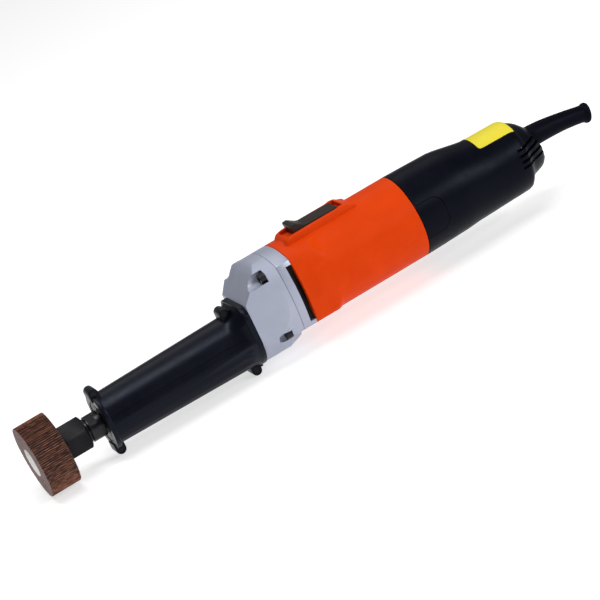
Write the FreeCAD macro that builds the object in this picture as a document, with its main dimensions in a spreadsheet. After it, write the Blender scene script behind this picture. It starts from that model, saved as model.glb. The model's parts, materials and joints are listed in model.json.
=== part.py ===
"""Geared straight die grinder with a flap wheel, as separate pieces.

The motor turns about the X axis.  The work end (collet nut and flap wheel) is at -X, the cord end at +X,
the slide switch on top (+Z).  Inside this file x is counted from the front face of the motor housing and
z from the motor's axis, or from the spindle's axis for the pieces that are centred on the spindle.
`node` then puts each piece in its place, with the origin under the middle of the whole tool.
"""
import FreeCAD, Part
import math
import os
import re
import Sketcher
from fcgear import fcgear, involute

App = FreeCAD
V = App.Vector
doc = App.newDocument("DieGrinder")

# Driving dimensions, millimetres and degrees -----------------------------------------------------------

SIZES = {
    # lines of the tool
    "drop": 18.5,              # spindle axis below motor axis
    # flap wheel and collet
    "wheel_rad": 30.0, "wheel_width": 25.0, "wheel_front": -243.0, "hub_rad": 9.0,
    "label_rad": 11.8, "label_thick": 0.35, "shank_rad": 3.0,
    "nut_front": -216.0, "nut_back": -196.0, "nut_flats": 27.0, "nut_chamfer": 1.6,
    # spindle
    "thread_rad": 7.0, "neck_rad": 9.5, "collar_front": -194.0, "collar_rad": 10.75, "collar_flats": 17.0,
    "spindle_rad": 6.0, "spindle_tail_rad": 5.0, "spindle_tail": -20.0,
    # nose
    "nose_front": -181.5, "nose_back": -46.0, "nose_rad_front": 21.6, "nose_rad_back": 24.1,
    "nose_bore": 17.4, "flange_thick": 5.0, "flange_rad": 25.5, "flange_top": 30.1, "flange_corner": 12.0,
    "front_thick": 4.0, "front_rise": 3.1,
    "lug_bore": 1.6, "head_bore": 2.8, "nut_bore": 2.9, "head_deep": 2.6,
    "ear_x": -178.5, "ear_z": 25.0, "ear_rad": 4.2, "ear_half": 7.0,
    "lug_top_x": -59.0, "lug_low_x": -55.0, "lug_z": 27.0, "tube_rad": 16.0, "tube_flange_rad": 21.4,
    # gear case and bearing plate
    "case_half": 32.5, "case_corner": 10.0, "shoulder_x": -26.0, "case_back": -12.0, "belly_rad": 26.0,
    "case_top_front": 11.6, "case_low_front": -22.0, "bolt_at": 25.0, "bolt_rad": 2.5,
    "pocket_rad": 5.4, "pocket_floor": -22.0, "pocket_long": 14.0,
    "teeth_pinion": 13.0, "teeth_gear": 24.0, "gear_front": -34.0, "gear_wide": 10.0,
    # motor housing
    "motor_rad": 35.5, "motor_long": 109.0, "motor_bore": 32.3, "boss_end": 21.0, "boss_fade": 9.0,
    "frame_front": 9.0, "frame_back": 67.0, "frame_half": 13.5, "frame_top": 38.2, "frame_wall": 3.5,
    # slide switch
    "slide_front": 19.0, "slide_back": 60.0, "slide_half": 9.3, "slide_top": 39.4, "knob_top": 44.5,
    "knob_back": 28.0, "rod_half": 3.5, "rod_low": 28.6, "rod_high": 30.8, "rod_back": 150.0,
    # motor
    "core_front": 40.0, "core_back": 88.0, "core_rad": 20.8, "stator_bore": 21.4, "stator_rad": 32.1,
    "stator_flat": 27.0, "shaft_rad": 5.0, "tail_rad": 4.0,
    "fan_front": 7.0, "fan_wide": 13.0, "fan_rad": 28.0,
    "comm_front": 112.0, "comm_back": 130.0, "comm_rad": 12.0, "brush_x": 121.0,
    # rear housing
    "rear_wall": 2.8, "ramp_front": 153.0, "ramp_back": 183.0, "waist_back": 215.0, "rear_end": 234.6,
    "rear_rad": 34.4, "waist_rad": 30.8, "waist_rad_back": 30.4, "waist_low": 2.4,
    "end_rad": 22.5, "end_low": 4.0, "slot_front": 208.0,
    "tab_half": 14.5, "tab_back": 132.0, "cord_z": 4.2, "cord_bore": 4.0,
    # cord sleeve
    "sleeve_x": 226.0, "sleeve_rad": 9.0, "sleeve_tip_rad": 7.0, "rim_rad": 8.4, "sleeve_long": 62.0,
    "sleeve_turn": 13.0,
}

sheet = doc.addObject("Spreadsheet::Sheet", "Sizes")
for row, (alias, number) in enumerate(SIZES.items(), 1):
    sheet.set(f"A{row}", alias)
    sheet.set(f"B{row}", str(number))
    sheet.setAlias(f"B{row}", alias)
doc.recompute()
ALIAS = re.compile(r"\b(" + "|".join(SIZES) + r")\b")


def bound(text):
    """The expression text with each driving dimension read from the sheet."""
    return ALIAS.sub(r"Sizes.\1", str(text))


def value(text):
    return float(sheet.evalExpression(str(text)))


# The bent sleeve's tip is the rearmost point, the wheel's face the foremost one.
TIP_X = ("(sleeve_x + sleeve_long * 180 / (pi * sleeve_turn) * sin(sleeve_turn)"
         " + rim_rad * sin(sleeve_turn))")
SHIFT_X = f"-(wheel_front - label_thick + {TIP_X}) / 2"
MOTOR_LINE = "wheel_rad + drop"
SPINDLE_LINE = "wheel_rad"
nodes = []


def node(name, piece, line=MOTOR_LINE):
    """Name a finished piece and put it on the motor's or the spindle's line."""
    if piece.TypeId in ("Part::Box", "Part::Cylinder", "Part::Feature"):
        piece = group([piece])
    piece.Label = name
    piece.setExpression("Placement.Base.x", bound(SHIFT_X))
    piece.setExpression("Placement.Base.z", bound(line))
    nodes.append(piece)
    return piece


# Plain solids, each bound to the sheet ------------------------------------------------------------------

ALONG_X = App.Rotation(V(0, 1, 0), 90)
ALONG_Y = App.Rotation(V(1, 0, 0), -90)


def place(piece, x=0, y=0, z=0, turn=App.Rotation()):
    piece.Placement = App.Placement(V(), turn)
    for axis, text in zip("xyz", (x, y, z)):
        piece.setExpression(f"Placement.Base.{axis}", bound(text))
    return piece


def solid(kind, **sizes):
    piece = doc.addObject(kind, kind.split("::")[1])
    for name, text in sizes.items():
        piece.setExpression(name, bound(text))
    return piece


def rod(x, long, rad, y=0, z=0):
    """A cylinder along X."""
    return place(solid("Part::Cylinder", Radius=rad, Height=long), x, y, z, ALONG_X)


def tube(x, long, rad, bore, y=0, z=0):
    return cut(rod(x, long, rad, y, z), rod(f"{x} - 1", f"{long} + 2", bore, y, z))


def cross_pin(x, y, long, rad, z=0):
    """A cylinder along Y."""
    return place(solid("Part::Cylinder", Radius=rad, Height=long), x, y, z, ALONG_Y)


def post(x, y, z, high, rad):
    """A cylinder along Z."""
    return place(solid("Part::Cylinder", Radius=rad, Height=high), x, y, z)


def cone(x, long, rad_front, rad_back, z=0):
    return place(solid("Part::Cone", Radius1=rad_front, Radius2=rad_back, Height=long), x, 0, z, ALONG_X)


def block(x, long, y, wide, z, high, turn=0):
    """A box with its low corner at x, y, z, turned about the X axis through the origin."""
    box = place(solid("Part::Box", Length=long, Width=wide, Height=high), x, y, z)
    if not turn:
        return box
    holder = group([box])
    holder.Placement = App.Placement(V(), App.Rotation(V(1, 0, 0), turn))
    return holder


def fuse(*pieces):
    joined = doc.addObject("Part::MultiFuse", "Joined")
    joined.Shapes = list(pieces)
    return joined


def group(pieces):
    together = doc.addObject("Part::Compound", "Group")
    together.Links = list(pieces)
    return together


def cut(base, *tools):
    left = doc.addObject("Part::Cut", "Cut")
    left.Base = base
    left.Tool = tools[0] if len(tools) == 1 else group(tools)
    return left


def common(*pieces):
    shared = doc.addObject("Part::MultiCommon", "Common")
    shared.Shapes = list(pieces)
    return shared


# PartDesign bodies ---------------------------------------------------------------------------------------

def new_body():
    return doc.addObject("PartDesign::Body", "Body")


def new_sketch(body, plane, offset=0):
    sketch = body.newObject("Sketcher::SketchObject", "Sketch")
    origin_plane = next(f for f in body.Origin.OriginFeatures if f.Role == plane)
    sketch.AttachmentSupport = [(origin_plane, "")]
    sketch.MapMode = "FlatFace"
    sketch.setExpression("AttachmentOffset.Base.z", bound(offset))
    return sketch


def outline(sketch, points):
    """A closed outline of straight edges with every corner bound to the sheet."""
    spots = [V(value(x), value(y), 0) for x, y in points]
    edges = [Part.LineSegment(a, b) for a, b in zip(spots, spots[1:] + spots[:1])]
    sketch.addGeometry(edges, False)
    for i in range(len(edges)):
        sketch.addConstraint(Sketcher.Constraint("Coincident", i, 2, (i + 1) % len(edges), 1))
    for i, (texts, spot) in enumerate(zip(points, spots)):
        for kind, text, size in zip(("DistanceX", "DistanceY"), texts, spot):
            at = sketch.addConstraint(Sketcher.Constraint(kind, -1, 1, i, 1, size))
            sketch.setExpression(f"Constraints[{at}]", bound(text))
    return sketch


def turned(points):
    """A body turned about its own X axis from (x, radius) corners."""
    body = new_body()
    sketch = outline(new_sketch(body, "XZ_Plane"), points)
    doc.recompute()
    spin = body.newObject("PartDesign::Revolution", "Turned")
    spin.Profile = sketch
    spin.ReferenceAxis = (sketch, ["H_Axis"])
    spin.Angle = 360
    return body


def oblong(low_y, high_y, low_z, high_z):
    return [(low_y, low_z), (high_y, low_z), (high_y, high_z), (low_y, high_z)]


def pad(body, points, plane, offset, long):
    extrusion = body.newObject("PartDesign::Pad", "Pad")
    extrusion.Profile = outline(new_sketch(body, plane, offset), points)
    extrusion.setExpression("Length", bound(long))
    return extrusion


def rounded(body, feature, corner):
    """Round the edges of a body that run along the tool."""
    doc.recompute()
    lengthwise = [f"Edge{i}" for i, edge in enumerate(feature.Shape.Edges, 1)
                  if edge.BoundBox.XLength > edge.BoundBox.YLength + edge.BoundBox.ZLength - 40
                  and edge.BoundBox.XLength > 1]
    fillet = body.newObject("PartDesign::Fillet", "Round")
    fillet.Base = (feature, lengthwise)
    fillet.setExpression("Radius", bound(corner))
    return fillet


def square_block(x, long, half, corner):
    """A rounded square prism along X."""
    body = new_body()
    square = oblong(f"-{half}", half, f"-{half}", half)
    rounded(body, pad(body, square, "YZ_Plane", x, long), corner)
    return body


def circle(x, rad, z=0, lean=0):
    """A circle across the tool, leaning down by `lean` degrees, as a section of a loft."""
    ring = solid("Part::Circle", Radius=rad)
    return place(ring, x, 0, z, App.Rotation(V(0, 1, 0), 90 + lean))


def loft(sections):
    skin = doc.addObject("Part::Loft", "Loft")
    skin.Sections = list(sections)
    skin.Solid = True
    skin.Ruled = True
    return skin


def screw(x, head_rad, head_long, rad, long, y=0, z=0):
    """A cap screw along X, its head at the front."""
    head = rod(x, head_long, head_rad, y, z)
    shank = rod(f"{x} + {head_long}", long, rad, y, z)
    socket = rod(f"{x} - 1", f"{head_long} * 0.5 + 1", f"{rad} * 0.6", y, z)
    return cut(fuse(head, shank), socket)


CORNERS = [(y, z) for y in (-1, 1) for z in (-1, 1)]


# Ball bearings --------------------------------------------------------------------------------------------

RING_WALL = 2.2
BALLS = 8


def bearing(name, x, wide, rad, bore, line):
    """Outer ring, inner ring and balls of a deep-groove ball bearing."""
    race = f"({rad} - {bore} - 2 * {RING_WALL}) / 2 - 0.03"
    path = f"{bore} + {RING_WALL} + {race}"
    node(f"{name}_outer_ring", tube(x, wide, rad, f"{rad} - {RING_WALL}"), line)
    node(f"{name}_inner_ring", tube(x, wide, f"{bore} + {RING_WALL}", bore), line)
    balls = []
    for step in range(BALLS):
        angle = 360 * step / BALLS
        ball = solid("Part::Sphere", Radius=race)
        balls.append(place(ball, f"{x} + {wide} / 2", f"({path}) * cos({angle})", f"({path}) * sin({angle})"))
    node(f"{name}_balls", group(balls), line)


# Flap wheel on its shank -----------------------------------------------------------------------------------

node("wheel_flaps", tube("wheel_front", "wheel_width", "wheel_rad", "hub_rad"), SPINDLE_LINE)
node("wheel_hub", tube("wheel_front", "wheel_width", "hub_rad", "shank_rad"), SPINDLE_LINE)
node("wheel_label", rod("wheel_front - label_thick", "label_thick", "label_rad"), SPINDLE_LINE)
node("wheel_shank", rod("wheel_front", "-198 - wheel_front", "shank_rad"), SPINDLE_LINE)

# Collet nut, collet and spindle -------------------------------------------------------------------------

def collet_nut():
    """Hexagon nut with both ends turned to a chamfer and a cone inside that closes the collet."""
    across = "nut_flats / 2 / cos(30)"
    corners = [(f"{across} * cos({angle})", f"{across} * sin({angle})") for angle in range(9, 369, 60)]
    body = new_body()
    pad(body, corners, "YZ_Plane", "nut_front", "nut_back - nut_front")
    barrel = turned([("nut_front", "0"), ("nut_front", f"{across} - nut_chamfer"),
                     ("nut_front + nut_chamfer * 0.6", across), ("nut_back - nut_chamfer * 0.6", across),
                     ("nut_back", f"{across} - nut_chamfer"), ("nut_back", "0")])
    inside = turned([("nut_front - 1", "0"), ("nut_front - 1", "4.2"), ("nut_front + 2", "4.2"),
                     ("nut_front + 4", "thread_rad"), ("nut_back + 1", "thread_rad"), ("nut_back + 1", "0")])
    return cut(common(body, barrel), inside)


node("collet_nut", collet_nut(), SPINDLE_LINE)

seat = [("nut_front + 3", "0"), ("nut_front + 3", "5.6"), ("nut_back - 2", "3.8"), ("nut_back - 2", "0")]
slit = [block("nut_front", 12, -12, 24, -0.4, 0.8, turn) for turn in (0, 60, 120)]
node("collet", cut(turned(seat), rod("nut_front", 20, "shank_rad"), *slit), SPINDLE_LINE)


def spindle():
    steel = turned([("nut_front + 4", "0"), ("nut_front + 4", "thread_rad"), ("nut_back", "thread_rad"),
                    ("nut_back", "neck_rad"), ("collar_front", "neck_rad"), ("collar_front", "collar_rad"),
                    ("nose_front - 0.4", "collar_rad"), ("nose_front - 0.4", "spindle_rad"),
                    ("nose_back - 11", "spindle_rad"), ("nose_back - 11", "spindle_tail_rad"),
                    ("spindle_tail", "spindle_tail_rad"), ("spindle_tail", "0")])
    flats = [block("collar_front + 1.2", 7, -15, 30, "collar_flats / 2", 5, turn) for turn in (25, 205)]
    bore = rod("nut_front", "26", 3.1)
    keyway = block("gear_front", "gear_wide", -1.5, 3, 3.4, 3)
    return cut(steel, turned(seat), bore, keyway, *flats)


node("spindle", spindle(), SPINDLE_LINE)
bearing("spindle_front_bearing", "nose_front + 2", "8", "14", "spindle_rad", SPINDLE_LINE)
bearing("spindle_rear_bearing", "nose_back - 9", "8", "13", "spindle_tail_rad", SPINDLE_LINE)

# Nose: aluminium tube that carries the spindle bearings, inside two plastic grip shells -----------------

tube_profile = [("nose_front + 0.5", "14"), ("nose_front + 0.5", "17"), ("nose_front + 14", "17"),
                ("nose_front + 14", "tube_rad"), ("nose_back - 7", "tube_rad"),
                ("nose_back - 7", "tube_flange_rad"), ("nose_back", "tube_flange_rad"), ("nose_back", "13"),
                ("nose_back - 9", "13"), ("nose_back - 9", "11.5"), ("nose_front + 10", "11.5"),
                ("nose_front + 10", "14")]
TUBE_BOLT = 13.2
node("nose_tube", cut(turned(tube_profile),
                      *[rod("nose_back - 12", 14, 1.6, TUBE_BOLT * y, TUBE_BOLT * z) for y, z in CORNERS]),
     SPINDLE_LINE)
node("nose_tube_screws", group([screw("nose_back - 9.5", 2.4, 2.5, 1.5, 15, TUBE_BOLT * y, TUBE_BOLT * z)
                                for y, z in CORNERS]), SPINDLE_LINE)
node("spindle_bearing_cap", tube("nose_front + 0.3", 1.7, 14, "spindle_rad + 0.3"), SPINDLE_LINE)


# Each lug is the end of one screw: its place along the tool and its height from the spindle's line.
LUGS = (("ear_x", "ear_z"), ("ear_x", "-ear_z"), ("lug_top_x", "lug_z"), ("lug_low_x", "-lug_z"))


def grip():
    """Tapered barrel with a tall oval front flange, a rear flange and four screw lugs."""
    barrel = cone("nose_front", "nose_back - nose_front", "nose_rad_front", "nose_rad_back")
    front = fuse(block("nose_front", "front_thick", "-nose_rad_front", "2 * nose_rad_front",
                       "-front_rise", "2 * front_rise"),
                 rod("nose_front", "front_thick", "nose_rad_front", 0, "front_rise"),
                 rod("nose_front", "front_thick", "nose_rad_front", 0, "-front_rise"))
    back = "nose_back - flange_thick"
    top = "flange_top - flange_corner"
    inset = "flange_rad - flange_corner"
    rear = fuse(rod(back, "flange_thick", "flange_rad"),
                block(back, "flange_thick", "-flange_rad", "2 * flange_rad", 0, top),
                block(back, "flange_thick", f"-({inset})", f"2 * ({inset})", 0, "flange_top"),
                *[rod(back, "flange_thick", "flange_corner", f"{side} * ({inset})", top) for side in (-1, 1)])
    lugs = []
    bores = [rod("nose_front - 3", "nose_back - nose_front + 4", "nose_bore"),
             rod("nose_back - 10", 12, "tube_flange_rad + 0.2")]
    for x, z in LUGS:
        lugs += [cross_pin(x, "-ear_half", "2 * ear_half", "ear_rad", z),
                 block(f"{x} - ear_rad", "2 * ear_rad", "-ear_half", "2 * ear_half",
                       f"min({z}; 0)", f"abs({z})")]
        bores += [cross_pin(x, "-ear_half - 1", "2 * ear_half + 2", "lug_bore", z),
                  cross_pin(x, "-ear_half - 1", "head_deep + 1", "head_bore", z),
                  cross_pin(x, "ear_half - head_deep", "head_deep + 1", "nut_bore", z)]
    return cut(fuse(barrel, front, rear, *lugs), *bores)


grip_whole = grip()
for side, y in (("right", -40), ("left", 0)):
    half = block("nose_front - 5", "nose_back - nose_front + 10", y, 40, -50, 100)
    node(f"grip_shell_{side}", common(grip_whole, half), SPINDLE_LINE)

node("grip_screws", group([fuse(cross_pin(x, "0.4 - ear_half", 2.2, "head_bore - 0.2", z),
                                cross_pin(x, "2.6 - ear_half", "2 * ear_half - 3.6", "lug_bore - 0.1", z))
                           for x, z in LUGS]), SPINDLE_LINE)
node("grip_nuts", group([cut(cross_pin(x, "ear_half - 2.4", 2.2, "nut_bore - 0.2", z),
                             cross_pin(x, 0, 12, "lug_bore - 0.1", z))
                         for x, z in LUGS]), SPINDLE_LINE)

# Gear case and bearing plate ----------------------------------------------------------------------------

def gear_case():
    """Aluminium casting: sloping shoulder, rounded square back, round belly about the spindle."""
    body = new_body()
    front = outline(new_sketch(body, "YZ_Plane", "nose_back"),
                    oblong("-flange_rad", "flange_rad", "case_low_front", "case_top_front"))
    middle = outline(new_sketch(body, "YZ_Plane", "shoulder_x"),
                     oblong("-case_half", "case_half", "-case_half", "case_half"))
    doc.recompute()
    slope = body.newObject("PartDesign::AdditiveLoft", "Slope")
    slope.Profile = front
    slope.Sections = [middle]
    slope.Ruled = True
    shoulder = common(body, square_block("nose_back", "shoulder_x - nose_back", "case_half", "case_corner"))
    back = square_block("shoulder_x", "case_back - shoulder_x", "case_half", "case_corner")
    belly = rod("nose_back", "shoulder_x - nose_back", "belly_rad", 0, "-drop")
    tail = cone("shoulder_x", "case_back - shoulder_x", "belly_rad", "belly_rad - 5.5", "-drop")
    gear_room = rod("gear_front - 3", "case_back - gear_front + 4", "15", 0, "-drop")
    pinion_room = rod("gear_front - 3", "case_back - gear_front + 4", "11")
    front_bore = rod("nose_back - 1", 14, "12.5", 0, "-drop")
    tools = [gear_room, pinion_room, front_bore]
    for y, z in CORNERS:
        at = (f"{y} * bolt_at", f"{z} * bolt_at")
        tools.append(rod("pocket_floor - pocket_long", "pocket_long", "pocket_rad", *at))
        tools.append(rod("pocket_floor - 1", 12, "bolt_rad + 0.2", *at))
        tools.append(rod("nose_back - 1", 10, 1.5, TUBE_BOLT * y, f"{TUBE_BOLT * z} - drop"))
    return cut(fuse(shoulder, back, belly, tail), *tools)


node("gear_case", gear_case())


def bearing_plate():
    plate = square_block("case_back", "-case_back", "case_half", "case_corner")
    hollow = cut(rod("case_back + 6", 8, 29), rod("case_back + 5", 6, 16))
    tools = [rod("case_back - 1", 10, 13), rod("case_back", 14, 7), hollow]
    for y, z in CORNERS:
        tools.append(rod("case_back - 1", 14, "bolt_rad + 0.2", f"{y} * bolt_at", f"{z} * bolt_at"))
    for y in (-36, 26):
        tools.append(block("case_back + 7", 6, y, 10, -24.5, 49))
    return cut(plate, *tools)


node("bearing_plate", bearing_plate())
node("gear_case_screws", group([screw("pocket_floor - 5", 4.3, 5, "bolt_rad", 38,
                                      f"{y} * bolt_at", f"{z} * bolt_at") for y, z in CORNERS]))

# Gears: a small pinion on the armature drives the large gear on the spindle -----------------------------

MODULE = 1.0


def spur(teeth, shift, bore, turn):
    """A spur gear of involute teeth; it reads its sizes from the sheet."""
    wire = fcgear.FCWireBuilder()
    involute.CreateExternalGear(wire, MODULE, int(value(teeth)), 20, True, 1.0, 1.25, 0.38, shift)
    face = Part.Face(Part.Wire([edge.toShape() if hasattr(edge, "toShape") else edge for edge in wire.wire]))
    disc = face.extrude(V(0, 0, value("gear_wide")))
    disc = disc.cut(Part.makeCylinder(bore, value("gear_wide")))
    disc.rotate(V(), V(0, 0, 1), turn)
    disc.rotate(V(), V(0, 1, 0), 90)
    disc.translate(V(value("gear_front"), 0, 0))
    gear = doc.addObject("Part::Feature", "Gear")
    gear.Shape = disc
    return gear


node("spindle_gear", cut(spur("teeth_gear", -0.45, value("spindle_tail_rad"), 0),
                         block("gear_front - 1", "gear_wide + 2", -1.5, 3, 3.4, 3)), SPINDLE_LINE)
node("gear_key", block("gear_front", "gear_wide", -1.5, 3, 3.4, 3), SPINDLE_LINE)
node("gear_circlip", tube("gear_front + gear_wide", 1.2, 7.5, "spindle_tail_rad"), SPINDLE_LINE)
node("pinion", spur("teeth_pinion", 0.35, 4.0, 180 / SIZES["teeth_pinion"]))

# Motor housing ------------------------------------------------------------------------------------------

def motor_housing():
    """Round plastic tube with a rounded square mouth, corner bosses and a raised frame for the switch."""
    mouth = common(square_block("0", "boss_end + boss_fade", "case_half", "case_corner"),
                   turned([("0", "0"), ("0", "50"), ("boss_end", "43"),
                           ("boss_end + boss_fade", "motor_rad - 1.5"), ("boss_end + boss_fade", "0")]))
    barrel = turned([("0", "0"), ("0", "case_half"), ("12", "motor_rad"), ("motor_long", "motor_rad"),
                     ("motor_long", "0")])
    frame = block("frame_front", "frame_back - frame_front", "-frame_half", "2 * frame_half", 20,
                  "frame_top - 20")
    hollow = fuse(rod("-1", 9, 29.2), rod("7", "motor_long", "motor_bore"))
    well = block("frame_front + frame_wall", "frame_back - frame_front - 2 * frame_wall",
                 "-frame_half + frame_wall", "2 * (frame_half - frame_wall)", "motor_rad - 0.6", 10)
    slot = block("28", 24, "-rod_half - 0.6", "2 * rod_half + 1.2", 20, 20)
    holes = [rod("-1", 21, "bolt_rad", f"{y} * bolt_at", f"{z} * bolt_at") for y, z in CORNERS]
    return cut(fuse(mouth, barrel, frame), hollow, well, slot, *holes)


node("motor_housing", motor_housing())

# Slide switch: knob on a plate, linked by a flat bar to the switch in the rear housing ------------------

def switch_knob():
    body = new_body()
    side = [("slide_front", "motor_rad - 0.3"), ("slide_front", "slide_top + 3"),
            ("slide_front + 1", "knob_top"), ("slide_front + 4", "knob_top"), ("knob_back", "slide_top"),
            ("slide_back", "slide_top - 1.2"), ("slide_back", "motor_rad - 0.3")]
    pad(body, side, "XZ_Plane", "-slide_half", "2 * slide_half")
    stem = block("34", 8, "-rod_half", "2 * rod_half", "rod_high", "motor_rad - rod_high + 2")
    return fuse(body, stem)


node("switch_knob", switch_knob())
node("switch_rod", fuse(block("30", "rod_back - 30", "-rod_half", "2 * rod_half", "rod_low",
                              "rod_high - rod_low"),
                        block("rod_back - 4", 4, "-rod_half", "2 * rod_half", 16, "rod_low - 16")))
node("switch_body", block("rod_back + 1", 24, -9, 18, 4, 19))

# Armature -----------------------------------------------------------------------------------------------

node("armature_shaft", turned([("gear_front", "0"), ("gear_front", "4"), ("gear_front + gear_wide", "4"),
                               ("gear_front + gear_wide", "shaft_rad"), ("comm_back + 3", "shaft_rad"),
                               ("comm_back + 3", "tail_rad"), ("comm_back + 15", "tail_rad"),
                               ("comm_back + 15", "0")]))
node("armature_core", cut(tube("core_front", "core_back - core_front", "core_rad", "shaft_rad"),
                          *[block("core_front - 1", "core_back - core_front + 2", -1.4, 2.8, 10, 12, turn)
                            for turn in range(0, 360, 30)]))


def armature_windings():
    """Copper in the slots and the two rings of end turns."""
    ends = [tube("core_front - 9", 9, "core_rad - 2.5", "shaft_rad + 2"),
            tube("core_back", 12, "core_rad - 2.5", "shaft_rad + 2")]
    bars = [block("core_front - 1", "core_back - core_front + 2", -1.4, 2.8, 10, 8, turn)
            for turn in range(0, 360, 30)]
    return fuse(*ends, *bars)


node("armature_windings", armature_windings())
node("commutator", tube("comm_front", "comm_back - comm_front", "comm_rad", "shaft_rad"))


def cooling_fan():
    """Backing disc and hub with a ring of straight blades."""
    body = new_body()
    profile = [("fan_front", "shaft_rad"), ("fan_front + fan_wide", "shaft_rad"),
               ("fan_front + fan_wide", "9"), ("fan_front + 2", "12"), ("fan_front + 2", "fan_rad"),
               ("fan_front", "fan_rad")]
    sketch = outline(new_sketch(body, "XZ_Plane"), profile)
    doc.recompute()
    disc = body.newObject("PartDesign::Revolution", "Disc")
    disc.Profile = sketch
    disc.ReferenceAxis = (sketch, ["H_Axis"])
    blade = pad(body, oblong("-0.7", "0.7", "8.5", "fan_rad - 0.4"), "YZ_Plane",
                "fan_front + 1", "fan_wide - 2")
    doc.recompute()
    blades = body.newObject("PartDesign::PolarPattern", "Blades")
    blades.Originals = [blade]
    blades.Axis = (next(f for f in body.Origin.OriginFeatures if f.Role == "X_Axis"), [""])
    blades.Angle = 360
    blades.Occurrences = 12
    body.Tip = blades
    return body


node("cooling_fan", cooling_fan())
bearing("armature_front_bearing", "case_back + 1", "8", "13", "shaft_rad", MOTOR_LINE)
bearing("armature_rear_bearing", "comm_back + 7", "7", "11", "tail_rad", MOTOR_LINE)

# Field --------------------------------------------------------------------------------------------------

def stator_core():
    """Lamination stack with flats above and below and a window at each side for the coils."""
    stack = tube("core_front", "core_back - core_front", "stator_rad", "stator_bore")
    flats = block("core_front - 1", "core_back - core_front + 2", -40, 80, "-stator_flat", "2 * stator_flat")
    windows = [block("core_front - 2", "core_back - core_front + 4", y, 17, -11, 22) for y in (-27, 10)]
    return cut(common(stack, flats), *windows)


def field_coil(side):
    """One coil: two straight sides in the windows joined by half-ring end turns."""
    shell = tube("core_front - 8", "core_back - core_front + 16", "26.6", "stator_bore + 0.4")
    half = block("core_front - 10", "core_back - core_front + 20", -30, 60, 1 if side > 0 else -31, 30)
    poles = block("core_front - 0.2", "core_back - core_front + 0.4", -30, 60,
                  10.8 if side > 0 else -40.8, 30)
    return cut(common(shell, half), poles)


node("stator_core", stator_core())
node("field_coils", group([field_coil(side) for side in (1, -1)]))
node("fan_baffle", cut(tube("fan_front + fan_wide + 2", 3, "motor_bore", 19),
                       block("20", 10, "-rod_half - 1", "2 * rod_half + 2", "rod_low - 1", 8)))

# Brushes ------------------------------------------------------------------------------------------------

holders, brushes, springs = [], [], []
for side in (-1, 1):
    low = "13" if side > 0 else "-28"
    holders.append(cut(block("brush_x - 6.5", 13, low, 15, -5.5, 11),
                       block("brush_x - 4.6", 9.2, f"{low} - 1", 17, -3.6, 7.2)))
    brushes.append(block("brush_x - 4.5", 9, "comm_rad + 0.1" if side > 0 else "-comm_rad - 11.1", 11,
                         -3.5, 7))
    springs.append(cut(cross_pin("brush_x", "comm_rad + 11.1" if side > 0 else "-28.6", 5.5, 3.2),
                       cross_pin("brush_x", -30, 60, 2.4)))
node("brush_holders", group(holders))
node("carbon_brushes", group(brushes))
node("brush_springs", group(springs))

# Rear housing and the bracket for the rear bearing ------------------------------------------------------

SKIN = [("motor_long", "motor_rad", 0), ("ramp_front", "rear_rad", 0),
        ("ramp_back", "waist_rad", "-waist_low"), ("waist_back", "waist_rad_back", "-waist_low"),
        ("waist_back + 7", "end_rad + 1.2", "-0.7"), ("rear_end - 5", "end_rad - 2.8", "1 - end_low"),
        ("rear_end", "end_rad - 7", "-end_low")]


REAR_SCREW = (9, -11)


def rear_skin(less, stop=0):
    sections = SKIN[:-1] if stop else SKIN
    return loft([circle(x, f"{rad} - {less}", z) for x, rad, z in sections])


def tab_prism(side, extra):
    """The outline of a brush cover, pushed through the side wall."""
    low = "20" if side > 0 else "-50"
    straight = block("motor_long - 1", f"tab_back - motor_long - tab_half * 0.5 + {extra}", low, 30,
                     f"-tab_half - {extra}", f"2 * (tab_half + {extra})")
    nose = cross_pin("tab_back - tab_half", low, 30, f"tab_half + {extra}")
    return fuse(common(straight, block("100", "tab_back - tab_half - 100", low, 30, -30, 60)), nose)


def rear_housing():
    inside = rear_skin("rear_wall", stop=1)
    tools = [inside, rod("rear_end - 12", 20, "sleeve_rad - 1.6", 0, "cord_z"),
             rod("rear_end - 3.2", 10, "sleeve_rad + 0.4", 0, "cord_z")]
    for step in range(17):
        turn = 72 + 13.5 * step
        tools.append(block("slot_front", "rear_end - 3.6 - slot_front", -1.3, 2.6, 14, 25, turn))
    tools += [tab_prism(side, 0.2) for side in (-1, 1)]
    for y in (f"-{REAR_SCREW[0]}", REAR_SCREW[0]):
        tools += [rod("rear_end - 9", 12, 2.2, y, REAR_SCREW[1]),
                  rod("rear_end - 3", 12, 3.9, y, REAR_SCREW[1])]
    pillars = [block("waist_back - 12", 9, y, 6, -29, 28.7) for y in (-17, 11)]
    holes = [post("waist_back - 7.5", y, -20, 30, 1.5) for y in (-14, 14)]
    shell = fuse(cut(rear_skin("0"), *tools), common(group(pillars), rear_skin("1")))
    return cut(shell, *holes)


node("rear_housing", rear_housing())


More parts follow.
